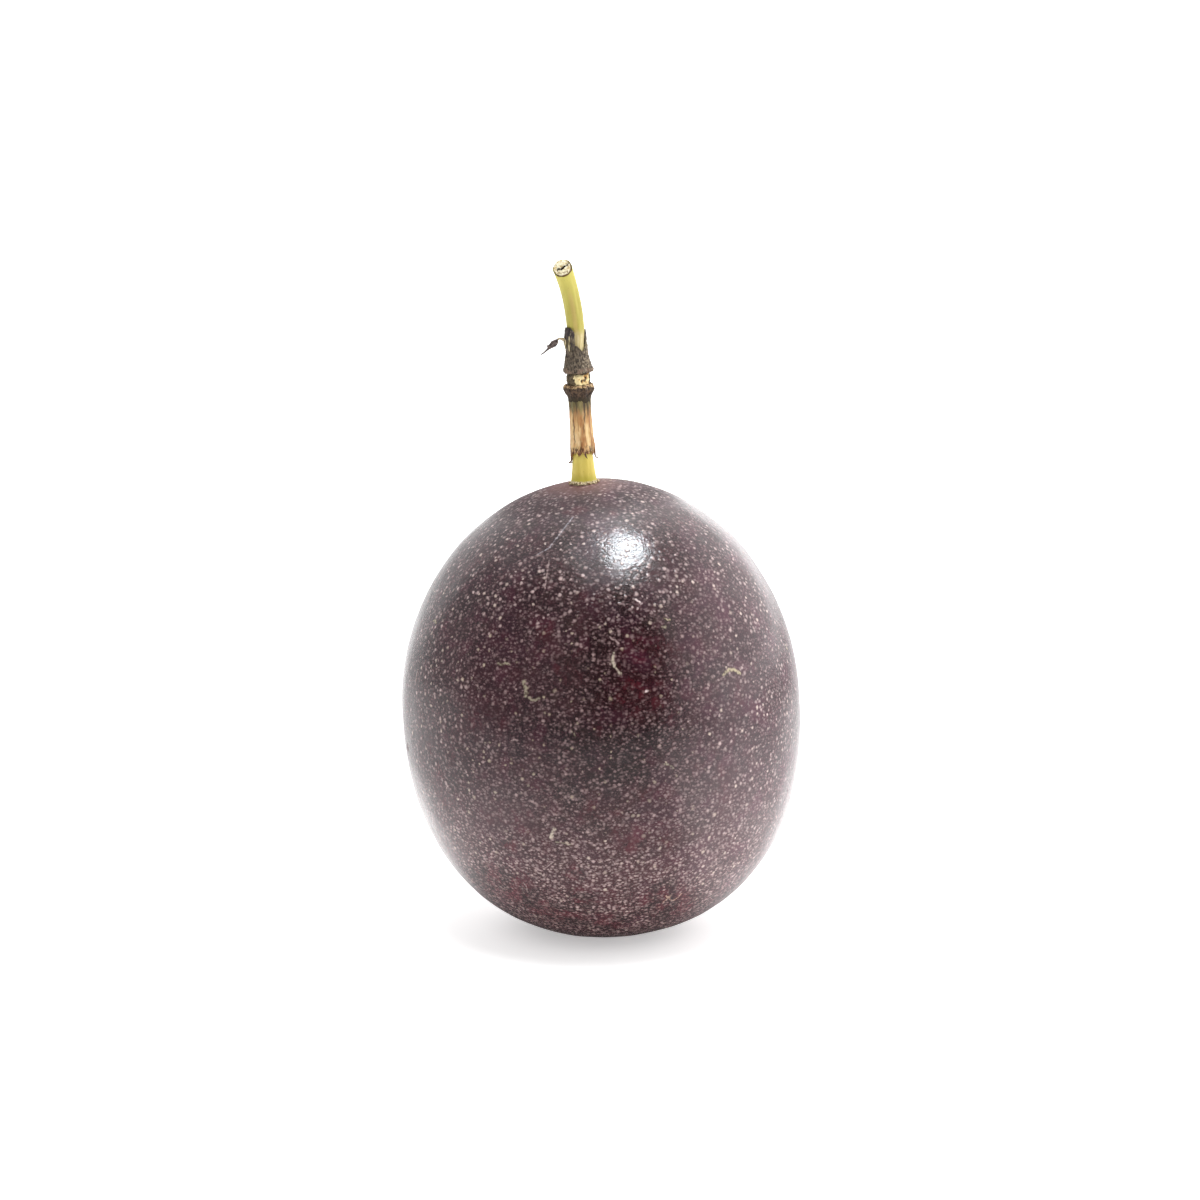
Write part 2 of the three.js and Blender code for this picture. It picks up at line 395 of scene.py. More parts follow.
cloud = place.noise(11.0, 4.0)
fine_cloud = place.vector("ADD", (31, 7, 3)).noise(2.6, 4.0)
olive_cloud = place.vector("ADD", (9, 27, 13)).noise(1.7, 3.0)
maroon_cloud = place.vector("ADD", (5, 17, 40)).noise(6.5, 3.0)

maroon = maroon_cloud.between(0.52, 0.72) * 0.8
ragged = place.jittered(3.0, 1.8)
for around, up, size in (
    (11, 40, 5.0),
    (13, 45, 4.5),
    (-17, 47.5, 2.0),
    (-24, 42, 2.0),
    (9, 19.5, 3.5),
    (9, 62, 3.0),
    (118, 40, 6.0),
    (-150, 22, 5.5),
    (170, 49, 4.5),
):
    maroon = maroon.either(blotch(ragged, around, up, size))
bald = maroon_cloud.between(0.4, 0.3) * height_up.between(12, 6)
torn_edge = place.jittered(1.8, 1.3).jittered(0.5, 0.4)
for around, up, size in (
    (-48, 10.4, 3.6),
    (-38, 11.6, 4.4),
    (-31, 10.0, 4.6),
    (-24, 7.6, 4.2),
    (-14, 6.2, 3.6),
    (-6, 10.2, 2.6),
    (5, 5.4, 3.4),
    (23, 10.0, 4.4),
    (31, 7.6, 4.4),
    (-28, 17.7, 1.5),
    (-8, 14.3, 2.0),
    (10, 18.8, 1.9),
    (100, 9, 4.0),
    (160, 8, 5.0),
    (-120, 10, 4.0),
):
    bald = bald.either(blotch(torn_edge, around, up, size, 0.5))
skin = cloud.between(0.3, 0.7).colour(rgb(28, 8, 12), rgb(42, 19, 23))
skin = (fine_cloud.between(0.4, 0.75) * 0.55).colour(skin, rgb(66, 31, 37))
skin = (olive_cloud.between(0.5, 0.75) * 0.5).colour(skin, rgb(48, 36, 28))
# Painted shade: two broad patches on the front of the rind are painted darker, with dimmer pores and grain and
# weaker maroon, where the gloss shows the dim front wall.
painted_shade = blotch(ragged, 7, 43, 10.5, 0.4).either(blotch(ragged, 6, 34, 9.5, 0.4))
skin = (painted_shade * 0.55).colour(skin, rgb(22, 4, 7))
skin = (maroon * (0.8 - 0.25 * painted_shade)).colour(skin, rgb(50, 10, 18))
skin = (maroon * olive_cloud.between(0.52, 0.38) * 0.45).colour(skin, rgb(88, 24, 36))
to_right = place.node("ShaderNodeSeparateXYZ", None, {0: place}, "X")
to_left = to_right.between(0, -14)
purple = place.vector("ADD", (15, 3, 22)).noise(5.0, 3.0).between(0.48, 0.66)
skin = (purple.either(0.6 * to_left) * 0.3).colour(skin, rgb(62, 26, 46))
skin = (to_right.between(6, 20) * (0.25 + 0.35 * purple)).colour(skin, rgb(84, 36, 56))
tinge = place.jittered(1.5, 0.5).vector("ADD", (4, 19, 33)).noise(3.2, 2.0)
skin = (tinge.between(0.57, 0.7) * 0.22).colour(skin, rgb(84, 26, 50))
skin = (tinge.between(0.44, 0.32) * 0.16).colour(skin, rgb(38, 42, 44))
skin = (lower_half * 0.2 * (1 - bald)).colour(skin, rgb(88, 34, 42))
skin = (bald * 0.85).colour(skin, fine_cloud.between(0.42, 0.6).colour(rgb(40, 6, 12), rgb(74, 16, 29)))

big_pores, big_chance = lenticels(wavering, 0.74, 0.34, 0.0)
small_pores, small_chance = lenticels(wavering.vector("MULTIPLY", (0.75, 0.75, 1.1)), 0.42, 0.25, 7.3)
calm = (1 - 0.5 * maroon) * (1 - 0.45 * bald)
# Painted light: the big pores are painted paler and stronger on the top of the berry and towards its right and left
# sides, where the light falls.
painted_lit_sides = height_up.between(43, 54).either(to_right.between(6, 22)).either(0.7 * to_right.between(-12, -24))
pore_strength = place.vector("ADD", (3, 3, 9)).noise(1.8, 2.0).between(0.3, 0.65) * 0.55 + 0.3
pore_strength = pore_strength * (1 - 0.12 * painted_shade)
pore_tint = big_chance.colour(rgb(130, 105, 107), rgb(182, 153, 151))
pore_tint = (big_chance.between(0.87, 0.9) * 0.7).colour(pore_tint, rgb(184, 170, 140))
grain = place.jittered(0.4, 0.15).vector("ADD", (2, 8, 4)).noise(0.24, 2.0).between(0.5, 0.72)
skin = (grain * calm * (0.14 + 0.2 * lower_half - 0.06 * painted_shade)).colour(skin, rgb(160, 128, 130))
small_tint = lower_half.colour(rgb(156, 128, 129), rgb(184, 158, 154))
skin = (small_pores * calm * (0.5 + 0.4 * lower_half)).colour(skin, small_tint)
pore_tint = (painted_lit_sides * 0.65).either(lower_half * 0.4).colour(pore_tint, rgb(217, 193, 190))
skin = (big_pores * (pore_strength + 0.25 * painted_lit_sides) * calm).colour(skin, pore_tint)

seat_of_stem = berry_stance @ Vector((-0.2, 0, STEM_END))
from_stem = place.jittered(1.2, 0.5).vector("DISTANCE", tuple(seat_of_stem), output="Value")
skin = (from_stem.between(8.0, 1.9) * 0.5).colour(skin, rgb(132, 88, 82))
blossom_pole = berry_stance @ Vector((BOW, 0, -BLOSSOM_END))
from_blossom = place.jittered(0.9, 0.4).vector("DISTANCE", tuple(blossom_pole), output="Value")
skin = (from_blossom.between(2.4, 0.8) * 0.8).colour(skin, rgb(112, 84, 62))
scars = rind.attribute("marks", "Alpha")
skin = scars.colour(skin, rind.attribute("marks", "Color"))

peel = place.noise(0.8, 2.0)
pimples = place.vector("ADD", (11, 2, 5)).noise(0.3, 2.0)
rind.set(
    skin,
    0.16 + 0.08 * fine_cloud + 0.2 * scars + 0.5 * from_stem.between(16.0, 8.5),
    0.03 * peel + 0.026 * pimples + 0.03 * big_pores + 0.014 * small_pores,
)
stand("berry", rind_mesh, rind, "rind", "fruit")

# ---- The stem ------------------------------------------------------------------------------------
# A green stalk, grown in one piece with its flared foot on the berry, the column that the dry
# flower parts sit on and the swollen corky node. The stalk above the node bends over to the
# front left, and a knife cut it off at a slant.

SEAT_OFFSET = 0.2
STRAIGHTENS = math.radians(0.6)
STEM_LENGTH = 30.4
BEND_START = 20.6
BEND_RADIUS = 23.5
BEND_TOWARDS = math.radians(228)
CUT_SLANT = math.radians(26)
CUT_FACES = math.radians(275)

seat = berry_stance @ Matrix.Translation((-SEAT_OFFSET, 0, STEM_END)) @ Matrix.Rotation(STRAIGHTENS, 4, "Y")
bend_way = Vector((math.cos(BEND_TOWARDS), math.sin(BEND_TOWARDS), 0))
bend_side = Vector((-bend_way.y, bend_way.x, 0))
cut_way = Vector((math.cos(CUT_FACES), math.sin(CUT_FACES), 0))


def planted(point):
    """Where a point of a straight stem lies once the stem has bent and stands on the berry."""
    turn = max(0.0, point.z - BEND_START) / BEND_RADIUS
    radius = BEND_RADIUS - point.dot(bend_way)
    bent = bend_way * (BEND_RADIUS - radius * math.cos(turn)) + bend_side * point.dot(bend_side)
    bent.z = min(point.z, BEND_START) + radius * math.sin(turn)
    return seat @ bent


def plant(name, mesh, finish, slot, *replaced):
    """Stands a piece of the straight stem where it grew. It still carries its straight places."""
    grown = mesh.verts.layers.float_vector.new("grown")
    for vertex in mesh.verts:
        vertex[grown] = vertex.co
        vertex.co = planted(vertex.co)
    return stand(name, mesh, finish, slot, *replaced)


def flowing(knots, gap):
    """Points about so far apart on a smooth curve through the knots."""
    knots = [Vector(knot) for knot in knots]
    run = [2 * knots[0] - knots[1], *knots, 2 * knots[-1] - knots[-2]]
    points = []
    for before, start, end, after in zip(run, run[1:], run[2:], run[3:]):
        steps = max(1, round((end - start).length / gap))
        for share in (step / steps for step in range(steps)):
            straight = 2 * start + (end - before) * share
            curve = (2 * before - 5 * start + 4 * end - after) * share**2
            twist = (3 * start - before - 3 * end + after) * share**3
            points.append((straight + curve + twist) / 2)
    return [*points, knots[-1]]


def turned(outline, sides, ring=False):
    """Turns an outline of (radius, height) points once round, closed on itself if it is a ring."""
    mesh = bmesh.new()
    rail = [mesh.verts.new((radius, 0, height)) for radius, height in outline]
    following = rail[1:] + rail[:1] if ring else rail[1:]
    edges = [mesh.edges.new(pair) for pair in zip(rail, following)]
    turn = {"axis": (0, 0, 1), "cent": (0, 0, 0), "angle": 2 * math.pi, "steps": sides}
    bmesh.ops.spin(mesh, geom=rail + edges, use_merge=True, **turn)
    bmesh.ops.remove_doubles(mesh, verts=mesh.verts, dist=1e-4)
    bmesh.ops.recalc_face_normals(mesh, faces=mesh.faces)
    return mesh


def carve(mesh, shape):
    """Moves each vertex outwards and up by what shape says of its place and its way round."""
    for vertex in mesh.verts:
        radius = math.hypot(vertex.co.x, vertex.co.y)
        if radius < 1e-6:
            continue
        outwards = Vector((vertex.co.x, vertex.co.y, 0)) / radius
        out, up = shape(vertex.co, math.atan2(vertex.co.y, vertex.co.x))
        vertex.co += outwards * out + Vector((0, 0, up))


stalk = turned(
    [(0, -0.5), *((point.x, point.y) for point in flowing(
        (
            (1.95, -0.5),
            (1.86, 0.0),
            (1.74, 0.6),
            (1.58, 1.8),
            (1.45, 3.2),
            (1.34, 4.4),
            (1.24, 6.5),
            (1.22, 11.4),
            (1.4, 12.6),
            (1.64, 13.7),
            (1.7, 14.6),
            (1.6, 15.4),
            (1.3, 16.4),
            (1.21, 18.5),
            (1.2, 20.6),
            (1.21, 24.0),
            (1.24, 27.0),
            (1.36, 31.6),
        ),
        0.17,
    )), (0, 31.6)],
    72,
)


def stalk_relief(point, around):
    bark = smooth_step(13.2, 13.8, point.z) * smooth_step(16.4, 15.6, point.z)
    ribs = math.cos(6 * around + 0.06 * point.z) + 0.6 * math.cos(11 * around + 1.0 - 0.05 * point.z)
    out = 0.022 * ribs * smooth_step(16.5, 19, point.z) + 0.012 * ribs * smooth_step(5, 3, point.z)
    out += 0.03 * unevenness(point, 2.4, 2) + bark * 0.14 * unevenness(point * 1.3, 0.5, 3) - bark * 0.06
    return out, 0


carve(stalk, stalk_relief)
knife_normal = Vector((0, 0, math.cos(CUT_SLANT))) + cut_way * math.sin(CUT_SLANT)
bmesh.ops.bisect_plane(
    stalk,
    geom=[*stalk.verts, *stalk.edges, *stalk.faces],
    plane_co=(0, 0, STEM_LENGTH),
    plane_no=knife_normal,
    clear_outer=True,
)
cap = bmesh.ops.holes_fill(stalk, edges=[edge for edge in stalk.edges if edge.is_boundary], sides=0)["faces"]
bmesh.ops.inset_region(stalk, faces=cap, thickness=0.13)
bmesh.ops.translate(stalk, verts=cap[0].verts, vec=-0.9 * knife_normal)

green = Finish("green_stem", IOR=1.42)
grown = green.attribute("grown")
station = grown.node("ShaderNodeSeparateXYZ", None, {0: grown}, "Z")
streaked = grown.vector("MULTIPLY", (1, 1, 0.12))
streaks = streaked.noise(0.35, 4.0)
broad_streaks = streaked.vector("ADD", (4, 9, 2)).noise(0.9, 3.0)
flecks = grown.vector("ADD", (3, 1, 8)).noise(0.3, 3.0)
stub_green = broad_streaks.between(0.3, 0.7).colour(rgb(212, 190, 84), rgb(230, 210, 106))
stub_green = (station.between(1.6, 0.5) * 0.6).colour(stub_green, rgb(186, 176, 54))
across = grown.node("ShaderNodeSeparateXYZ", None, {0: grown}, "X")
upper_green = broad_streaks.between(0.3, 0.7).colour(rgb(170, 160, 70), rgb(190, 178, 88))
upper_green = (streaks.between(0.5, 0.7) * 0.25).colour(upper_green, rgb(150, 140, 54))
tan_band = across.between(-0.5, -0.1) * across.between(0.55, 0.1)
upper_green = (tan_band * station.between(28.5, 26.0) * 0.45).colour(upper_green, rgb(190, 156, 96))
upper_green = (station.between(25.0, 29.5) * 0.55).colour(upper_green, rgb(212, 200, 98))
bare = (station + flecks * 0.8).between(22.2, 20.9)
bare_wood = streaks.between(0.35, 0.65).colour(rgb(186, 164, 112), rgb(212, 196, 150))
upper_green = (bare * 0.9).colour(upper_green, bare_wood)
bark_brown = flecks.between(0.35, 0.62).colour(rgb(44, 36, 26), rgb(116, 100, 76))
stem_colour = station.between(8, 12).colour(stub_green, rgb(120, 96, 60))
stem_colour = station.between(13.0, 13.4).colour(stem_colour, bark_brown)
stem_colour = station.between(16.0, 17.0).colour(stem_colour, upper_green)
pale_foot = (station + flecks * 0.5).between(0.75, 0.45)
stem_colour = pale_foot.colour(stem_colour, rgb(206, 190, 150))
freckles = grown.vector("ADD", (8, 8, 1)).noise(0.3, 1.0).between(0.66, 0.74)
cut_rim = grown.vector("SUBTRACT", (0, 0, STEM_LENGTH)).vector("DOT_PRODUCT", tuple(knife_normal), output="Value")
lower_right = grown.vector("DOT_PRODUCT", (0.6, -0.8, 0), output="Value")
rim_colour = (lower_right + 0.8 * flecks).between(0.2, 1.2).colour(rgb(214, 200, 146), rgb(96, 66, 34))
stem_colour = cut_rim.between(-0.1, -0.03).colour(stem_colour, rim_colour)
stem_colour = (freckles * 0.2).colour(stem_colour, rgb(132, 104, 52))
bark_mask = station.between(13.0, 13.4) * station.between(17.0, 16.0)
green.set(
    stem_colour,
    0.5 + 0.18 * streaks + 0.3 * bark_mask,
    0.03 * streaks + 0.02 * flecks + 0.12 * bark_mask * flecks,
)
plant("stalk", stalk, green, "green_stem", "stem")

# The cut shows the pale pith, which has dried, cracked across and shrunk from the darker rim. Its cracks, hollow and
# pits, and the gap at the rim, are sunk a little and painted near black: painted shade inside them.

CUT_RADIUS = 1.19

pith_mesh = bmesh.new()
bmesh.ops.create_grid(pith_mesh, x_segments=72, y_segments=72, size=1)
cracks_painted_dark_layer = pith_mesh.verts.layers.float.new("opened")
for vertex in pith_mesh.verts:
    across, along = vertex.co.x, vertex.co.y
    disc = Vector((across * math.sqrt(1 - along**2 / 2), along * math.sqrt(1 - across**2 / 2), 0))
    from_middle = disc.length
    lumps = 0.12 * unevenness(disc * 1.3 + Vector((3, 1, 0)), 0.34, 3)
    waver = 0.05 * math.sin(9 * disc.x) + 0.07 * noise.noise(Vector((4 * disc.x, 3, 0)))
    crack_line = disc.y + 0.12 - 0.42 * smooth_step(-0.1, 0.85, disc.x) - waver
    crack = smooth_step(0.24, 0.12, abs(crack_line)) * smooth_step(1.0, 0.9, from_middle)
    crack *= smooth_step(-0.8, -0.55, disc.x) * (0.9 + 0.6 * noise.noise(disc * 3))
    ring_line = from_middle - 0.72 - 0.07 * math.sin(5 * math.atan2(disc.y, disc.x))
    ring = 0.8 * smooth_step(0.09, 0.02, abs(ring_line)) * smooth_step(-0.3, -0.5, disc.y)
    rim_line = smooth_step(0.9, 0.97, from_middle) * smooth_step(0.1, -0.3, disc.y)
    hollow = 1.2 * smooth_step(0.28, 0.14, (disc - Vector((0.0, -0.12, 0))).length)
    pits = 0.6 * smooth_step(0.3, 0.5, noise.noise(disc * 5.5))
    opened = max(crack, ring, hollow, pits, 0.7 * rim_line)
    dome = 0.16 * (1 - from_middle**2)
    flat = disc * CUT_RADIUS
    slant = math.tan(CUT_SLANT) * flat.dot(cut_way)
    vertex.co = flat + Vector((0, 0, STEM_LENGTH - slant + 0.11 + dome + lumps - 0.42 * opened))
    vertex[cracks_painted_dark_layer] = opened
rim_of_pith = [edge for edge in pith_mesh.edges if edge.is_boundary]
skirt = bmesh.ops.extrude_edge_only(pith_mesh, edges=rim_of_pith)["geom"]
for vertex in (part for part in skirt if isinstance(part, bmesh.types.BMVert)):
    vertex.co.z -= 0.5
bmesh.ops.holes_fill(pith_mesh, edges=[edge for edge in pith_mesh.edges if edge.is_boundary], sides=0)
bmesh.ops.recalc_face_normals(pith_mesh, faces=pith_mesh.faces)

pith = Finish("pith", IOR=1.4)
cut_place = pith.attribute("grown")
cut_clouds = cut_place.noise(0.35, 4.0)
cut_radius = cut_place.vector("MULTIPLY", (1, 1, 0)).vector("LENGTH", output="Value")
pith_colour = cut_clouds.between(0.36, 0.55).colour(rgb(204, 178, 120), rgb(250, 242, 212))
pith_colour = pith.attribute("opened", "Fac").between(0.25, 0.75).colour(pith_colour, rgb(26, 15, 7))
brown_side = (cut_place.vector("DOT_PRODUCT", (0.6, -0.8, 0), output="Value") + 0.8 * cut_clouds).between(0.2, 1.2)
pith_colour = (cut_radius.between(1.08, 1.17) * (0.15 + 0.85 * brown_side)).colour(pith_colour, rgb(122, 86, 42))
pith.set(pith_colour, 0.7 + 0.2 * cut_clouds, 0.1 * cut_clouds)
plant("pith", pith_mesh, pith, "green_stem")

# ---- The foot scales -----------------------------------------------------------------------------
# Corky flakes that cracked away from the rind where the foot of the stem joins it. Each is a small
# curled sheet, and they stand round the foot in a ragged ring.


def leaf(across, along, shape, thickness):
    """A sheet as thick as that. Shape takes shares across and up it to (degrees, radius, height)."""
    mesh = bmesh.new()
    bmesh.ops.create_grid(mesh, x_segments=across, y_segments=along, size=0.5)
    for vertex in mesh.verts:
        around, radius, height = shape(vertex.co.x + 0.5, vertex.co.y + 0.5)
        turn = math.radians(around)
        vertex.co = Vector((radius * math.sin(turn), -radius * math.cos(turn), height))
    bmesh.ops.recalc_face_normals(mesh, faces=mesh.faces)
    bmesh.ops.solidify(mesh, geom=mesh.faces, thickness=thickness)
    bmesh.ops.recalc_face_normals(mesh, faces=mesh.faces)
    return mesh


def gathered(parts):
    """Several meshes as one."""
    whole = bmesh.new()
    for part in parts:
        data = bpy.data.meshes.new("part")
        part.to_mesh(data)
        part.free()
        whole.from_mesh(data)
        bpy.data.meshes.remove(data)
    return whole


chance = random.Random(21)
flakes = []
for number in range(56):
    middle = number * 360 / 56 + chance.uniform(-4, 4)
    breadth = chance.uniform(6, 13)
    inner, reach = chance.uniform(1.7, 1.9), chance.uniform(0.14, 0.34)
    foot, tip = chance.uniform(0.02, 0.28), chance.uniform(-0.12, 0.08)
    curl = chance.uniform(-0.08, 0.12)

    def flake_shape(across, out):
        narrowing = 1 - 0.5 * out**2
        sag = curl * math.sin(math.pi * across) + 0.06 * noise.noise(Vector((number, 4 * across, 4 * out)))
        ragged = 1 + 0.25 * noise.noise(Vector((7 * across, number, 3)))
        around = middle + breadth * (across - 0.5) * narrowing
        return around, inner + reach * out * ragged, foot + (tip - foot) * out + sag

    flakes.append(leaf(4, 4, flake_shape, 0.07))

corky = Finish("foot_scales", IOR=1.4)
grown = corky.attribute("grown")
crumbs = grown.noise(0.25, 3.0)
corky_colour = crumbs.between(0.4, 0.56).colour(rgb(122, 84, 52), rgb(236, 222, 182))
corky.set(corky_colour, 0.7 + 0.2 * crumbs, 0.05 * crumbs)
plant("foot_scales", gathered(flakes), corky, "green_stem")

# ---- The filament tube ---------------------------------------------------------------------------
# The filaments of the stamens had grown together into a tube round the column. It has dried to
# wrinkled tan paper and torn off below, where five withered ends of it curl away.


def tube_relief(point, around):
    lengthwise = Vector((1.5 * math.cos(around), 1.5 * math.sin(around), 0.1 * point.z))
    mouth = smooth_step(6.2, 4.0, point.z)
    folds = 0.045 * math.cos(5 * around + 0.5 + 0.1 * point.z) + 0.025 * math.cos(13 * around + 0.35 * point.z)
    out = folds + 0.05 * unevenness(lengthwise, 0.42) + 0.03 * unevenness(lengthwise + Vector((4, 4, 4)), 0.16, 2)
    out += mouth * 0.1 * unevenness(lengthwise + Vector((0, 0, 9)), 0.7, 2)
    torn = 0.5 * unevenness(lengthwise * Vector((1, 1, 0)) + Vector((3, 0, 2)), 0.6, 2)
    torn += 0.4 * unevenness(Vector((lengthwise.x, lengthwise.y, 5)), 0.2, 2)
    from_left = math.remainder(around - math.radians(192), 2 * math.pi)
    torn -= 0.8 * math.exp(-((from_left / 0.3) ** 2))
    return out, smooth_step(5.6, 4.1, point.z) * (torn + 0.2)


outside = flowing(((1.5, 11.9), (1.56, 11.5), (1.5, 10.0), (1.57, 7.6), (1.66, 5.3), (1.7, 4.1)), 0.13)
inside = flowing(((1.62, 3.95), (1.52, 4.15), (1.45, 6.0), (1.38, 9.0), (1.36, 11.9)), 0.4)
tube = turned([(point.x, point.y) for point in outside + inside], 144, ring=True)
carve(tube, tube_relief)

# Stains of the tube, and three painted shadows: where each is, as (degrees, low end, high end, half its width in
# degrees).
stains = (
    ((7, 4.4, 9.6, 9), (158, 100, 52), 0.75, -0.03),
    ((14, 7.0, 8.6, 5), (104, 58, 26), 0.8, -0.03),
    ((-2, 4.6, 6.4, 6), (120, 68, 30), 0.7, -0.02),
    ((-40, 5.6, 9.4, 4), (96, 60, 40), 0.85, -0.07),
    ((-52, 4.6, 10.2, 7), (230, 198, 150), 0.7, 0.04),
    ((-24, 5.2, 8.4, 6), (230, 198, 144), 0.6, 0.02),
    ((30, 4.8, 8.2, 8), (234, 202, 146), 0.6, 0.03),
    ((58, 5.0, 10.6, 5), (150, 98, 66), 0.8, -0.05),
    ((-74, 4.2, 9.0, 5), (176, 124, 92), 0.7, -0.03),
    # The next three, dark streaks that reach up under the corona ring, are painted shadows of its folds.
    ((24, 8.6, 12.0, 6), (58, 46, 34), 0.9, -0.05),
    ((44, 9.4, 12.0, 6), (66, 54, 40), 0.8, -0.03),
    ((-20, 9.8, 12.0, 4), (70, 56, 42), 0.8, -0.04),
    ((-48, 9.6, 12.0, 9), (116, 112, 74), 0.7, 0.0),
    ((4, 9.8, 12.0, 8), (146, 134, 86), 0.7, 0.02),
    ((104, 5.0, 10.0, 6), (140, 88, 48), 0.8, -0.04),
    ((132, 4.6, 8.6, 10), (238, 212, 168), 0.7, 0.02),
    ((158, 5.4, 11.8, 5), (96, 64, 42), 0.8, -0.06),
    ((190, 4.4, 9.2, 9), (136, 80, 38), 0.8, -0.02),
    ((222, 6.0, 11.6, 6), (238, 214, 178), 0.7, 0.03),
    ((246, 4.8, 10.4, 5), (108, 68, 44), 0.8, -0.05),
)
stain_and_shadow_layer = tube.verts.layers.float_color.new("stains")
for vertex in tube.verts:
    around = math.degrees(math.atan2(vertex.co.x, -vertex.co.y))
    wander = 9 * noise.noise(Vector((0, 3, vertex.co.z / 1.6))) + 4 * noise.noise(vertex.co / 0.5)
    shown, lift, tint = 0.0, 0.0, (0.0, 0.0, 0.0)
    for (middle, low, high, half), colour, strength, proud in stains:
        away = abs(math.remainder(around - middle - wander, 360))
        ends = smooth_step(low - 0.5, low + 0.5, vertex.co.z) * smooth_step(high + 0.7, high - 0.7, vertex.co.z)
        strength *= smooth_step(half + 2, half * 0.3, away) * ends
        if strength > shown:
            shown, lift, tint = strength, proud * strength, rgb(*colour)[:3]
    vertex[stain_and_shadow_layer] = (*tint, shown)
    outwards = Vector((vertex.co.x, vertex.co.y, 0)).normalized()
    vertex.co += outwards * lift

papery = Finish("dry_filaments", IOR=1.45)
grown = papery.attribute("grown")
station = grown.node("ShaderNodeSeparateXYZ", None, {0: grown}, "Z")
lengthwise = grown.vector("MULTIPLY", (1, 1, 0.12))
fibres = lengthwise.noise(0.15, 4.0)
bands = lengthwise.vector("ADD", (5, 2, 1)).noise(0.5, 3.0)
clouds = grown.vector("ADD", (1, 6, 3)).noise(0.9, 3.0)
paper = fibres.between(0.32, 0.68).colour(rgb(198, 152, 90), rgb(234, 202, 148))
paper = (bands.between(0.5, 0.57) * 0.8).colour(paper, rgb(158, 102, 54))
paper = (bands.between(0.45, 0.38) * 0.6).colour(paper, rgb(236, 208, 160))
paper = (clouds.between(0.48, 0.66) * 0.45).colour(paper, rgb(206, 140, 80))
paper = ((station + clouds * 2 - 1).between(7.6, 9.6) * 0.6).colour(paper, rgb(186, 142, 90))
paper = (station + clouds * 2 - 1).between(9.9, 11.2).colour(paper, rgb(138, 120, 78))
# Painted shade: the top of the tube, under the corona ring, is painted dark in streaks.
painted_shadow_under_ring = (station + 1.5 * clouds - 0.75).between(9.2, 11.6)
paper = (painted_shadow_under_ring * fibres.between(0.38, 0.56) * 0.85).colour(paper, rgb(66, 54, 38))
paper = (painted_shadow_under_ring * bands.between(0.45, 0.6) * 0.6).colour(paper, rgb(116, 108, 66))
stained_and_shaded = papery.attribute("stains", "Alpha") * (0.3 + 1.2 * fibres).between(0.0, 1.0)
paper = stained_and_shaded.colour(paper, papery.attribute("stains", "Color"))
scorch = (station + 1.3 * clouds + 0.6 * fibres - 0.95).between(5.6, 4.7)
stitched = grown.vector("ADD", (6, 1, 2)).vector("MULTIPLY", (1, 1, 0.5)).noise(0.28, 2.0)
paper = (scorch * stitched.between(0.42, 0.54) * 0.92).colour(paper, rgb(74, 44, 20))
paper = (scorch * stitched.between(0.46, 0.36) * 0.7).colour(paper, rgb(206, 160, 104))
fringe = (station + 0.8 * clouds).between(4.95, 4.6)
paper = (fringe * fibres.between(0.35, 0.6) * 0.7).colour(paper, rgb(176, 122, 72))
papery.set(paper, 0.55 + 0.25 * fibres, 0.07 * fibres + 0.05 * bands)
plant("filament_tube", tube, papery, "dry_filaments", "filament_tube")


def strand(knots, flatness, faces=None, sides=12):
    """A thread through knots of (x, y, height, half its width). It is flat on the side that faces."""
    way = flowing(knots, 0.1)
    last = len(way) - 1
    mesh = turned([(0, 0), *((1, step) for step in range(last + 1)), (0, last)], sides)
    for vertex in mesh.verts:
        number = round(vertex.co.z)
        here = way[number]
        along = (way[min(number + 1, last)] - way[max(number - 1, 0)]).xyz.normalized()
        side = along.cross(faces or Vector((here.x, here.y, 0))).normalized()
        flat = side.cross(along) * flatness
        lump = 1 + 0.3 * noise.noise(here.xyz / 0.3)
        vertex.co = here.xyz + (side * vertex.co.x + flat * vertex.co.y) * here.w * lump
    bmesh.ops.recalc_face_normals(mesh, faces=mesh.faces)
    return mesh


def round_stem(around, radius, height, half_width):
    """A knot of a strand, from its place about the stem."""
    turn = math.radians(around)
    return radius * math.sin(turn), -radius * math.cos(turn), height, half_width


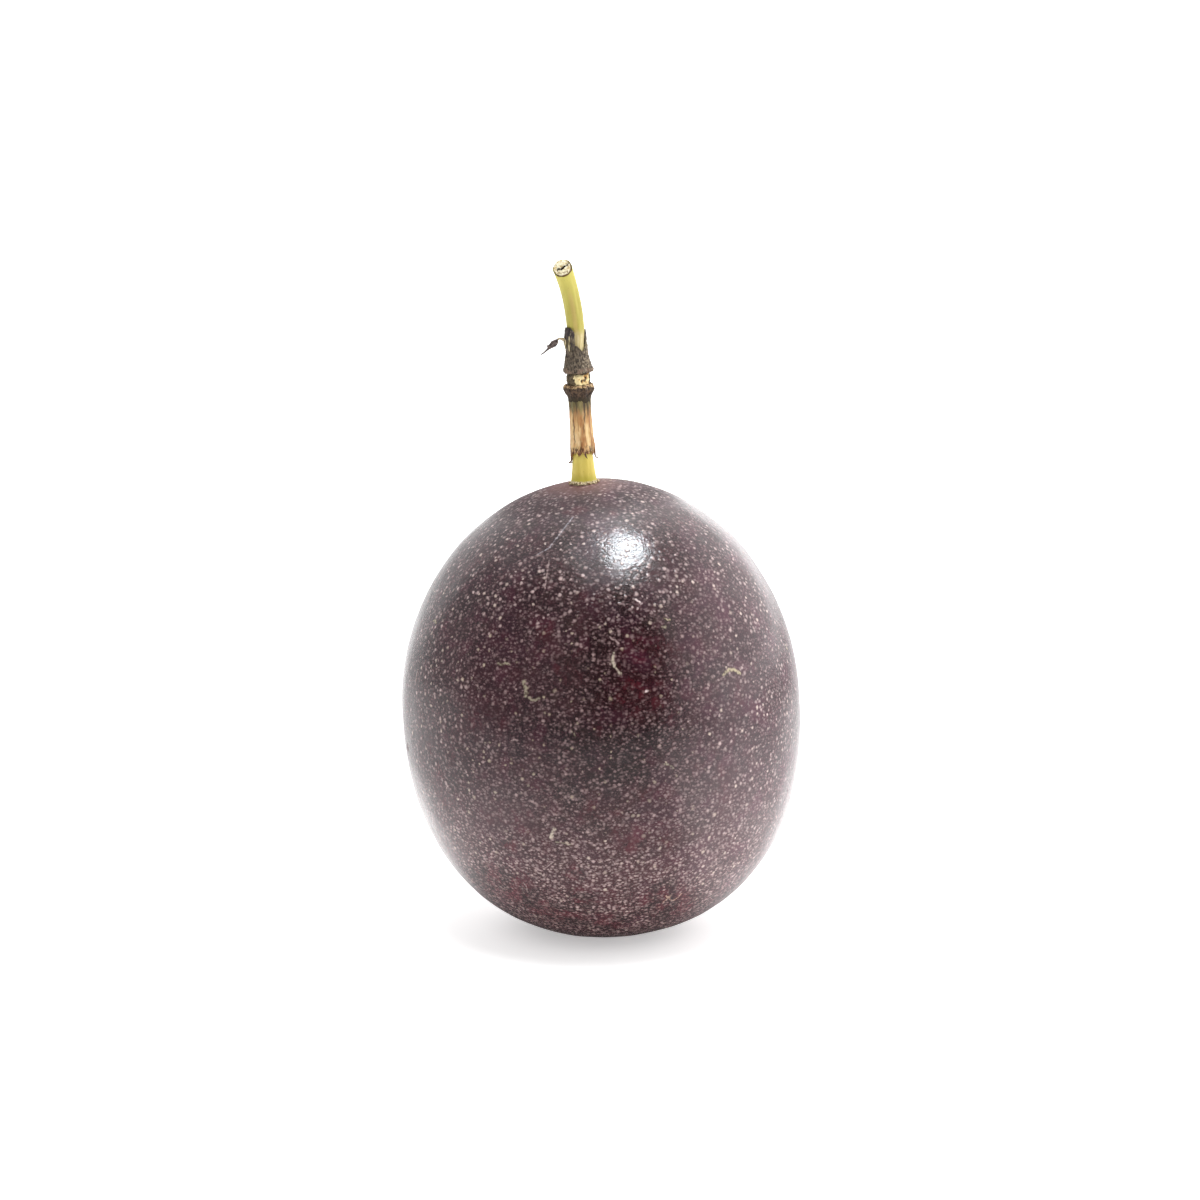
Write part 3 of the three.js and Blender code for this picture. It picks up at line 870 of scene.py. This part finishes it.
withered_ends = [
    strand(
        (
            round_stem(74, 1.6, 6.6, 0.1),
            round_stem(77, 1.7, 5.4, 0.22),
            round_stem(80, 1.74, 4.4, 0.2),
            round_stem(82, 1.74, 3.85, 0.15),
            round_stem(85, 1.84, 3.52, 0.12),
            round_stem(88, 2.02, 3.4, 0.09),
            round_stem(89, 2.2, 3.37, 0.04),
        ),
        0.7,
    ),
    strand(
        (
            round_stem(-72, 1.6, 4.9, 0.24),
            round_stem(-73, 1.64, 4.0, 0.2),
            round_stem(-74, 1.58, 3.4, 0.14),
            round_stem(-79, 1.66, 3.12, 0.15),
            round_stem(-84, 1.84, 2.92, 0.15),
            round_stem(-87, 1.98, 2.84, 0.1),
        ),
        0.6,
    ),
    strand(
        (
            round_stem(12, 1.6, 4.6, 0.16),
            round_stem(14, 1.7, 4.1, 0.12),
            round_stem(19, 1.72, 3.75, 0.07),
            round_stem(22, 1.8, 3.6, 0.03),
        ),
        0.4,
    ),
    strand(
        (
            round_stem(-16, 1.6, 4.8, 0.18),
            round_stem(-13, 1.72, 4.35, 0.13),
            round_stem(-9, 1.8, 4.1, 0.04),
        ),
        0.4,
    ),
    strand(
        (
            round_stem(146, 1.6, 5.0, 0.24),
            round_stem(149, 1.68, 4.1, 0.2),
            round_stem(152, 1.72, 3.4, 0.1),
            round_stem(158, 1.95, 3.1, 0.04),
        ),
        0.35,
    ),
    strand(
        (
            round_stem(218, 1.6, 5.0, 0.22),
            round_stem(220, 1.7, 4.0, 0.2),
            round_stem(226, 1.74, 3.2, 0.14),
            round_stem(230, 1.9, 2.7, 0.1),
            round_stem(238, 2.05, 2.6, 0.04),
        ),
        0.35,
    ),
]
scorched = Finish("filament_ends", IOR=1.45)
grown = scorched.attribute("grown")
grain = grown.vector("MULTIPLY", (1, 1, 0.4)).noise(0.2, 3.0)
station = grown.node("ShaderNodeSeparateXYZ", None, {0: grown}, "Z")
scorched_colour = grain.between(0.3, 0.7).colour(rgb(52, 32, 26), rgb(132, 92, 66))
scorched_colour = station.between(4.0, 5.4).colour(scorched_colour, rgb(196, 146, 104))
scorched.set(scorched_colour, 0.5 + 0.3 * grain, 0.05 * grain)
plant("filament_ends", gathered(withered_ends), scorched, "dry_filaments")

# ---- The corona ring -----------------------------------------------------------------------------
# The flared base that the threads of the corona stood on, shrunk to a brown wrinkled collar with a rough lip. The
# lip is painted pale, partly its own tan and partly a painted highlight, and the collar's underside is painted dark:
# a painted shade.

collar_outline = flowing(
    (
        (1.45, 11.4),
        (1.56, 11.5),
        (1.66, 12.1),
        (1.9, 12.65),
        (2.12, 13.05),
        (2.16, 13.3),
        (2.06, 13.58),
        (1.9, 13.8),
        (1.72, 13.8),
        (1.6, 13.4),
        (1.5, 12.6),
    ),
    0.1,
)
collar = turned([(point.x, point.y) for point in collar_outline], 176, ring=True)


def collar_relief(point, around):
    radius = math.hypot(point.x, point.y)
    outer = smooth_step(1.62, 2.0, radius)
    lengthwise = Vector((point.x, point.y, 0.35 * point.z))
    waver = 1.4 * noise.noise(Vector((math.cos(around), math.sin(around), 0.2 * point.z)) * 1.5)
    folds = math.cos(11 * around + waver) + 0.6 * math.cos(23 * around - 2 * waver)
    out = outer * (0.04 * folds + 0.14 * unevenness(lengthwise, 0.5)) + 0.04 * unevenness(point, 0.25, 2)
    up = outer * (0.03 * folds + 0.16 * unevenness(point + Vector((2, 5, 0)), 0.7))
    up += smooth_step(12.2, 11.5, point.z) * 0.25 * unevenness(Vector((point.x, point.y, 4)), 0.7, 2)
    return out, up


carve(collar, collar_relief)

dead = Finish("dry_corona", IOR=1.4)
grown = dead.attribute("grown")
station = grown.node("ShaderNodeSeparateXYZ", None, {0: grown}, "Z")
ribs = grown.vector("MULTIPLY", (1, 1, 0.3)).noise(0.25, 3.0)
crumbs = grown.vector("ADD", (2, 3, 8)).noise(0.3, 3.0)
collar_colour = ribs.between(0.34, 0.66).colour(rgb(34, 25, 19), rgb(88, 68, 52))
collar_colour = (crumbs.between(0.52, 0.68) * 0.5).colour(collar_colour, rgb(124, 98, 78))
pale_lip_and_highlight = (station + 0.6 * crumbs - 0.3).between(13.35, 13.7)
lip_and_highlight_colour = crumbs.between(0.44, 0.6).colour(rgb(90, 64, 42), rgb(196, 164, 120))
collar_colour = pale_lip_and_highlight.colour(collar_colour, lip_and_highlight_colour)
# Painted shade: the lower part of the collar, under its flare, is painted dark.
collar_colour = ((station + 0.8 * ribs).between(12.9, 12.1) * 0.9).colour(collar_colour, ribs.colour(rgb(32, 26, 18), rgb(74, 64, 42)))
dead.set(collar_colour, 0.6 + 0.3 * ribs, 0.08 * ribs + 0.06 * crumbs)
plant("corona_ring", collar, dead, "dry_corona", "corona_ring")

# ---- The calyx cup -------------------------------------------------------------------------------
# The dead base of the calyx, shrunk on the stem like bark. Its lower rim is rolled outwards, and
# above it is torn, lowest at the front right.

cup_outline = flowing(
    (
        (1.36, 19.2),
        (1.46, 19.15),
        (1.48, 18.7),
        (1.66, 17.6),
        (1.86, 16.6),
        (1.92, 16.3),
        (2.02, 16.05),
        (2.03, 15.75),
        (1.92, 15.52),
        (1.78, 15.6),
        (1.7, 15.95),
        (1.5, 16.9),
        (1.36, 18.0),
    ),
    0.11,
)
cup = turned([(point.x, point.y) for point in cup_outline], 160, ring=True)


def cup_relief(point, around):
    lengthwise = Vector((point.x, point.y, 0.3 * point.z))
    rim = smooth_step(16.5, 16.0, point.z)
    out = 0.12 * unevenness(lengthwise, 0.55) + 0.07 * unevenness(point, 0.3, 3)
    out += 0.03 * math.cos(9 * around + 2 * noise.noise(point / 1.5))
    out += rim * 0.07 * unevenness(point + Vector((7, 0, 0)), 0.5, 2)
    torn = 0.25 * unevenness(Vector((point.x, point.y, 1)), 0.5, 3)
    from_notch = math.remainder(around + math.pi / 2 - math.radians(37), 2 * math.pi)
    torn -= 0.75 * math.exp(-((from_notch / 0.42) ** 2)) - 0.1
    up = torn * smooth_step(17.6, 19.0, point.z) + rim * 0.12 * unevenness(point + Vector((0, 9, 0)), 0.6, 2)
    return out, up


carve(cup, cup_relief)

barky = Finish("dry_calyx", IOR=1.4)
grown = barky.attribute("grown")
station = grown.node("ShaderNodeSeparateXYZ", None, {0: grown}, "Z")
lumps = grown.noise(0.55, 4.0)
wrinkles = grown.vector("MULTIPLY", (1, 1, 0.6)).noise(0.2, 4.0)
cup_colour = lumps.between(0.3, 0.7).colour(rgb(64, 54, 45), rgb(108, 95, 80))
to_right = grown.node("ShaderNodeSeparateXYZ", None, {0: grown}, "X")
# Pale flecks on the wrinkles, more of them towards the right.
paler_to_right = to_right.between(-0.2, 1.3) * 0.5 + 0.2
cup_colour = (wrinkles.between(0.48, 0.62) * paler_to_right).colour(cup_colour, rgb(176, 160, 134))
cup_colour = (wrinkles.between(0.48, 0.38) * 0.7).colour(cup_colour, rgb(34, 26, 22))
rolled = (station + 0.4 * lumps).between(16.6, 16.2) * lumps.between(0.42, 0.6)
cup_colour = (rolled * 0.65).colour(cup_colour, rgb(138, 112, 94))
barky.set(cup_colour, 0.65 + 0.25 * lumps, 0.12 * lumps + 0.08 * wrinkles)
plant("calyx_cup", cup, barky, "dry_calyx", "calyx_cup")

# ---- The neck scar -------------------------------------------------------------------------------
# Pale crumbly tissue that shows at the front of the node, where the calyx tore off from it.


def scar_shape(across, up):
    side = 9 * noise.noise(Vector((3 * round(across), 2.5 * up, 7))) * abs(2 * across - 1)
    around = -24 + 88 * across + side
    edge = 1 - max(abs(2 * across - 1) ** 4, abs(2 * up - 1) ** 4)
    place = Vector((3 * across, 1.6 * up, 0))
    lumps = 0.2 * unevenness(place + Vector((1, 6, 0)), 0.5, 2) + 0.06 * unevenness(place, 0.16, 2)
    hollow = 0.14 * smooth_step(0.6, 0.1, (place - Vector((1.95, 1.0, 0))).length)
    lumps -= hollow
    ragged = 0.5 * noise.noise(Vector((4 * across, 8 * round(up), 1)))
    height = 13.8 + 1.5 * up + ragged * abs(2 * up - 1)
    return around, 1.58 + edge * (0.2 + lumps), height


spongy = Finish("neck_scar", IOR=1.4)
grown = spongy.attribute("grown")
crumbs = grown.noise(0.6, 4.0)
to_right = grown.node("ShaderNodeSeparateXYZ", None, {0: grown}, "X")
spongy_colour = (crumbs - 0.12 * to_right).between(0.3, 0.46).colour(rgb(186, 136, 74), rgb(240, 220, 166))
pits = grown.vector("ADD", (4, 4, 9)).noise(0.4, 3.0).between(0.42, 0.35)
spongy_colour = (pits * 0.8).colour(spongy_colour, rgb(86, 56, 34))
spongy.set(spongy_colour, 0.7 + 0.2 * crumbs, 0.12 * crumbs)
plant("neck_scar", leaf(56, 30, scar_shape, 0.2), spongy, "green_stem")

# ---- The bracts ----------------------------------------------------------------------------------
# Two of the three bracts have left dried stumps on the stem over the calyx: a broad folded one on
# the left, with strips torn from it below, and a narrow one on the right.


def left_bract(across, up):
    place = Vector((2.2 * across, 2.6 * up, 0))
    folds = 0.12 * math.cos(13 * across + 0.6 + 1.2 * up) * math.sin(math.pi * min(1, 1.2 * up + 0.1))
    top = 21.95 - 1.0 * abs(2 * across - 1.1) ** 3 + 0.2 * noise.noise(Vector((11 * across, 1, 0)))
    base = 18.75 + 0.35 * noise.noise(Vector((9 * across, 2, 0)))
    radius = 1.42 + 0.24 * math.sin(math.pi * (0.12 + 0.8 * up)) + folds + 0.07 * unevenness(place, 0.4)
    return -114 + 106 * across, radius, base + (top - base) * up


def right_bract(across, up):
    place = Vector((1.3 * across, 2.4 * up, 6))
    top = 21.4 - 5.0 * (across - 0.62) ** 2 + 0.1 * noise.noise(Vector((9 * across, 5, 0)))
    base = 18.5 + 0.3 * noise.noise(Vector((7 * across, 7, 0)))
    radius = 1.36 + 0.05 * math.sin(math.pi * up) + 0.04 * math.cos(9 * across) + 0.05 * unevenness(place, 0.4)
    return 58 + 54 * across, radius, base + (top - base) * up


withered = Finish("dry_bract", IOR=1.4)
grown = withered.attribute("grown")
veins = grown.vector("MULTIPLY", (1, 1, 0.2)).noise(0.2, 3.0)
lumps = grown.noise(0.5, 3.0)
bract_colour = lumps.between(0.34, 0.66).colour(rgb(36, 29, 31), rgb(82, 70, 66))
height = grown.node("ShaderNodeSeparateXYZ", None, {0: grown}, "Z")
olive = height.between(20.8, 19.4) * veins.between(0.42, 0.56)
bract_colour = (olive * 0.75).colour(bract_colour, rgb(124, 112, 74))
bract_colour = (veins.between(0.57, 0.68) * 0.6).colour(bract_colour, rgb(150, 136, 112))
withered.set(bract_colour, 0.5 + 0.3 * lumps, 0.06 * veins + 0.06 * lumps)
plant("bract_left", leaf(54, 34, left_bract, 0.16), withered, "dry_bract", "bract_left")
plant("bract_right", leaf(24, 30, right_bract, 0.14), withered, "dry_bract", "bract_right")

torn_strips = [
    strand(
        (
            round_stem(-62, 1.66, 20.2, 0.1),
            round_stem(-60, 1.78, 19.6, 0.16),
            round_stem(-62, 1.8, 19.1, 0.12),
            round_stem(-64, 1.78, 18.6, 0.04),
        ),
        0.35,
    ),
    strand(
        (
            round_stem(-35, 1.66, 20.7, 0.08),
            round_stem(-33, 1.78, 20.0, 0.12),
            round_stem(-36, 1.78, 19.2, 0.12),
            round_stem(-35, 1.72, 18.6, 0.04),
        ),
        0.35,
    ),
    strand(
        (
            round_stem(-76, 1.6, 20.6, 0.2),
            round_stem(-77, 1.74, 20.2, 0.22),
            round_stem(-75, 1.78, 19.7, 0.14),
            round_stem(-74, 1.74, 19.3, 0.05),
        ),
        0.4,
    ),
]
frayed = Finish("torn_strips", IOR=1.4)
grown = frayed.attribute("grown")
threads = grown.vector("MULTIPLY", (1, 1, 0.3)).noise(0.2, 3.0)
frayed.set(
    threads.between(0.35, 0.6).colour(rgb(120, 104, 72), rgb(208, 190, 150)),
    0.6 + 0.3 * threads,
    0.05 * threads,
)
plant("torn_strips", gathered(torn_strips), frayed, "dry_bract")

# ---- The bract shred -----------------------------------------------------------------------------
# A withered shred of the left bract, twisted and hanging outwards by a pale torn neck.

shred_knots = (
    (-1.3, -0.62, 20.2, 0.18),
    (-1.75, -0.62, 20.2, 0.2),
    (-2.24, -0.62, 20.36, 0.15),
    (-2.6, -0.62, 20.2, 0.18),
    (-2.85, -0.62, 19.9, 0.38),
    (-3.3, -0.62, 19.55, 0.42),
    (-3.7, -0.62, 19.24, 0.3),
    (-4.0, -0.62, 18.95, 0.15),
    (-4.4, -0.62, 18.62, 0.12),
    (-4.78, -0.62, 18.36, 0.09),
    (-4.95, -0.62, 18.27, 0.13),
)
tag_knots = (
    (-3.6, -0.66, 19.35, 0.14),
    (-3.95, -0.7, 19.42, 0.14),
    (-4.2, -0.72, 19.44, 0.05),
)
hanging = Finish("bract_shred", IOR=1.4)
grown = hanging.attribute("grown")
creases = grown.vector("MULTIPLY", (0.5, 1, 1)).noise(0.22, 3.0)
outwards = grown.node("ShaderNodeSeparateXYZ", None, {0: grown}, "X")
hanging_colour = creases.between(0.35, 0.65).colour(rgb(52, 40, 42), rgb(112, 98, 92))
torn_neck = (outwards + 0.3 * creases).between(-2.5, -2.3)
hanging_colour = (torn_neck * 0.8).colour(hanging_colour, rgb(196, 176, 142))
hanging.set(hanging_colour, 0.55 + 0.3 * creases, 0.06 * creases)
front = Vector((0, -1, 0))
shred_parts = gathered([strand(shred_knots, 0.5, front), strand(tag_knots, 0.5, front)])
plant("bract_shred", shred_parts, hanging, "dry_bract", "bract_shred")

# ---- Light, floor and camera ---------------------------------------------------------------------
# A white studio: a round lamp overhead, a tall soft box to the right, a dim front wall, which
# only the gloss of the rind shows, and a pale table.

CAMERA_DISTANCE = 0.46784
CAMERA_HEIGHT = math.radians(11)
AIM = Vector((0, 0, 0.0472))

camera_data = bpy.data.cameras.new("camera")
camera_data.lens = 100
camera_data.sensor_width = 36
camera_data.clip_start = 0.01
camera = bpy.data.objects.new("camera", camera_data)
towards_camera = Vector((0, -math.cos(CAMERA_HEIGHT), math.sin(CAMERA_HEIGHT)))
camera.location = AIM + towards_camera * CAMERA_DISTANCE
camera.rotation_euler = (-towards_camera).to_track_quat("-Z", "Y").to_euler()
bpy.context.scene.collection.objects.link(camera)
bpy.context.scene.camera = camera
bpy.context.scene.view_settings.view_transform = "Standard"

world = bpy.data.worlds.new("studio")
world.use_nodes = True
world.node_tree.nodes["Background"].inputs["Color"].default_value = (1, 1, 1, 1)
world.node_tree.nodes["Background"].inputs["Strength"].default_value = 1.12
bpy.context.scene.world = world

SOFT_LAMP_SIZE = 0.7
SOFT_LAMP_HEIGHT = 0.9
SOFT_LAMP_RADIANCE = 6.5

lamp_data = bpy.data.lights.new("soft_lamp", "AREA")
lamp_data.shape = "DISK"
lamp_data.size = SOFT_LAMP_SIZE
lamp_data.energy = SOFT_LAMP_RADIANCE * math.pi * math.pi * SOFT_LAMP_SIZE**2 / 4
lamp = bpy.data.objects.new("soft_lamp", lamp_data)
lamp.location = (0.12, -0.1, SOFT_LAMP_HEIGHT)
lamp.visible_camera = False
lamp.visible_glossy = False
bpy.context.scene.collection.objects.link(lamp)


def card(name, mesh, brightness):
    """A card that only the gloss of the object shows."""
    data = bpy.data.meshes.new(name)
    mesh.to_mesh(data)
    mesh.free()
    made = bpy.data.objects.new(name, data)
    material = bpy.data.materials.new(name)
    material.use_nodes = True
    surface = material.node_tree.nodes["Principled BSDF"]
    surface.inputs["Base Color"].default_value = (0, 0, 0, 1)
    surface.inputs["Specular IOR Level"].default_value = 0
    surface.inputs["Emission Color"].default_value = (1, 1, 1, 1)
    surface.inputs["Emission Strength"].default_value = brightness
    data.materials.append(material)
    made.visible_camera = False
    bpy.context.scene.collection.objects.link(made)
    return made


def flat_card(name, corners, brightness):
    mesh = bmesh.new()
    bmesh.ops.contextual_create(mesh, geom=[mesh.verts.new(corner) for corner in corners])
    return card(name, mesh, brightness)


COOL_WHITE = (0.87, 0.95, 1.0, 1)


def round_card(name, way, distance, spread, brightness):
    """A round card that faces the fruit from that way, half as wide as the spread in degrees."""
    mesh = bmesh.new()
    radius = distance * math.tan(math.radians(spread))
    bmesh.ops.create_circle(mesh, cap_ends=True, segments=48, radius=radius)
    way = Vector(way).normalized()
    facing = way.to_track_quat("-Z", "Y").to_matrix().to_4x4()
    facing.translation = AIM + way * distance
    bmesh.ops.transform(mesh, matrix=facing, verts=mesh.verts)
    made = card(name, mesh, brightness)
    made.visible_diffuse = False
    return made


lamp_cards = [
    round_card("round_lamp", (0.23, -0.035, 0.974), 0.8, 7.4, 48.0),
    round_card("lamp_tail", (0.2, -0.19, 0.966), 0.81, 4.0, 26.0),
    round_card("lamp_halo", (0.2, 0.03, 0.974), 0.82, 11.5, 6.0),
    round_card("lamp_ghost", (-0.02, -0.03, 0.998), 0.83, 7.5, 2.6),
]
for lit in lamp_cards:
    surface = lit.active_material.node_tree.nodes["Principled BSDF"]
    surface.inputs["Emission Color"].default_value = COOL_WHITE
round_card("umbrella", (0.07, -0.12, 0.98), 0.9, 21.8, 2.2)
round_card("back_umbrella", (0.25, 0.5, 0.85), 0.9, 18.4, 2.1)
round_card("far_umbrella", (0.1, 0.8, 0.6), 0.95, 15.0, 1.7)

flat_card("soft_box", ((1, -0.8, 0.0), (1, -0.19, 0.95), (1, 2.2, 1.9), (1, 2.2, 0.0)), 1.95)
flat_card("low_strip", ((0.98, -0.3, 0.0), (0.98, -0.3, 0.15), (0.98, 1.1, 0.15), (0.98, 1.1, 0.0)), 2.6)
flat_card("back_card", ((0.05, 1.6, 0.0), (1.2, 1.6, 0.0), (1.2, 1.6, 0.7), (0.05, 1.6, 0.7)), 2.4)
flat_card("dark_wall", ((-0.12, -1.1, 0.0), (1.1, -1.1, 0.0), (1.1, -1.1, 1.9), (-0.12, -1.1, 1.9)), 0.08)
flat_card("grey_wall", ((-1.1, -0.1, 0.0), (-0.12, -1.1, 0.0), (-0.12, -1.1, 1.9), (-1.1, -0.1, 1.9)), 0.32)

flat_card("side_wall", ((-1.1, 0.8, 0.0), (-1.1, -0.1, 0.0), (-1.1, -0.1, 1.2), (-1.1, 0.8, 1.2)), 0.62)

# A glowing sheet just over the table that only the gloss of the rind shows: a painted reflection of the table,
# brighter to the right and behind, dimmer in front and far off, and dark right round the fruit, a painted contact
# shadow.
apron = flat_card("apron", ((-1.1, -1.1, 0.0005), (1.1, -1.1, 0.0005), (1.1, 1.1, 0.0005), (-1.1, 1.1, 0.0005)), 1.0)
apron.visible_diffuse = False
apron.visible_shadow = False
sheet = Finish("apron", Base_Color=(0, 0, 0, 1), Specular_IOR_Level=0.0, Emission_Strength=1.0)
to_right = sheet.place.node("ShaderNodeSeparateXYZ", None, {0: sheet.place}, "X")
to_back = sheet.place.node("ShaderNodeSeparateXYZ", None, {0: sheet.place}, "Y")
from_fruit = sheet.place.vector("LENGTH", output="Value")
aside = to_right + 0.6 * to_back
glow = 1.1 + 1.45 * aside.between(-2, 22) * (1 - 0.5 * to_back.between(-15, 20)) - 0.6 * to_right.between(120, 300)
glow = glow + 0.35 * to_back.between(-5, 30) - 0.5 * to_back.between(60, 250) - 0.35 * aside.between(60, 140) * to_back.between(-10, 60)
glow = glow + 0.7 * to_right.between(-15, -45) * from_fruit.between(100, 50)
glow = glow * (1 - 0.3 * aside.between(10, 30) * from_fruit.between(48, 34))
glow = glow * (0.06 + 0.94 * from_fruit.between(11, 34)) * (1 - 0.17 * to_back.between(-45, -80)) * (0.3 + 0.7 * to_back.between(-280, -50))
sheet_glow = glow.node("ShaderNodeCombineXYZ", None, {0: glow, 1: glow, 2: glow})
sheet.material.node_tree.links.new(sheet_glow.socket, sheet.surface.inputs["Emission Color"])
apron.data.materials.clear()
apron.data.materials.append(sheet.material)

floor_mesh = bmesh.new()
bmesh.ops.create_grid(floor_mesh, x_segments=1, y_segments=1, size=6)
floor_data = bpy.data.meshes.new("table")
floor_mesh.to_mesh(floor_data)
floor_mesh.free()
table = bpy.data.objects.new("table", floor_data)
bpy.context.scene.collection.objects.link(table)
table_top = Finish("table_top", Base_Color=(0.88, 0.88, 0.88, 1), Roughness=0.9, Specular_IOR_Level=0.1)
table_top.surface.inputs["Emission Strength"].default_value = 1.0
# The table glows, as a light table does, and a little less right round the fruit: a painted contact shadow.
from_fruit = table_top.place.vector("LENGTH", output="Value")
glow = 0.4 + 0.2 * from_fruit.between(6, 18)
glow_colour = glow.node("ShaderNodeCombineXYZ", None, {0: glow, 1: glow, 2: glow})
table_top.material.node_tree.links.new(glow_colour.socket, table_top.surface.inputs["Emission Color"])
floor_data.materials.append(table_top.material)
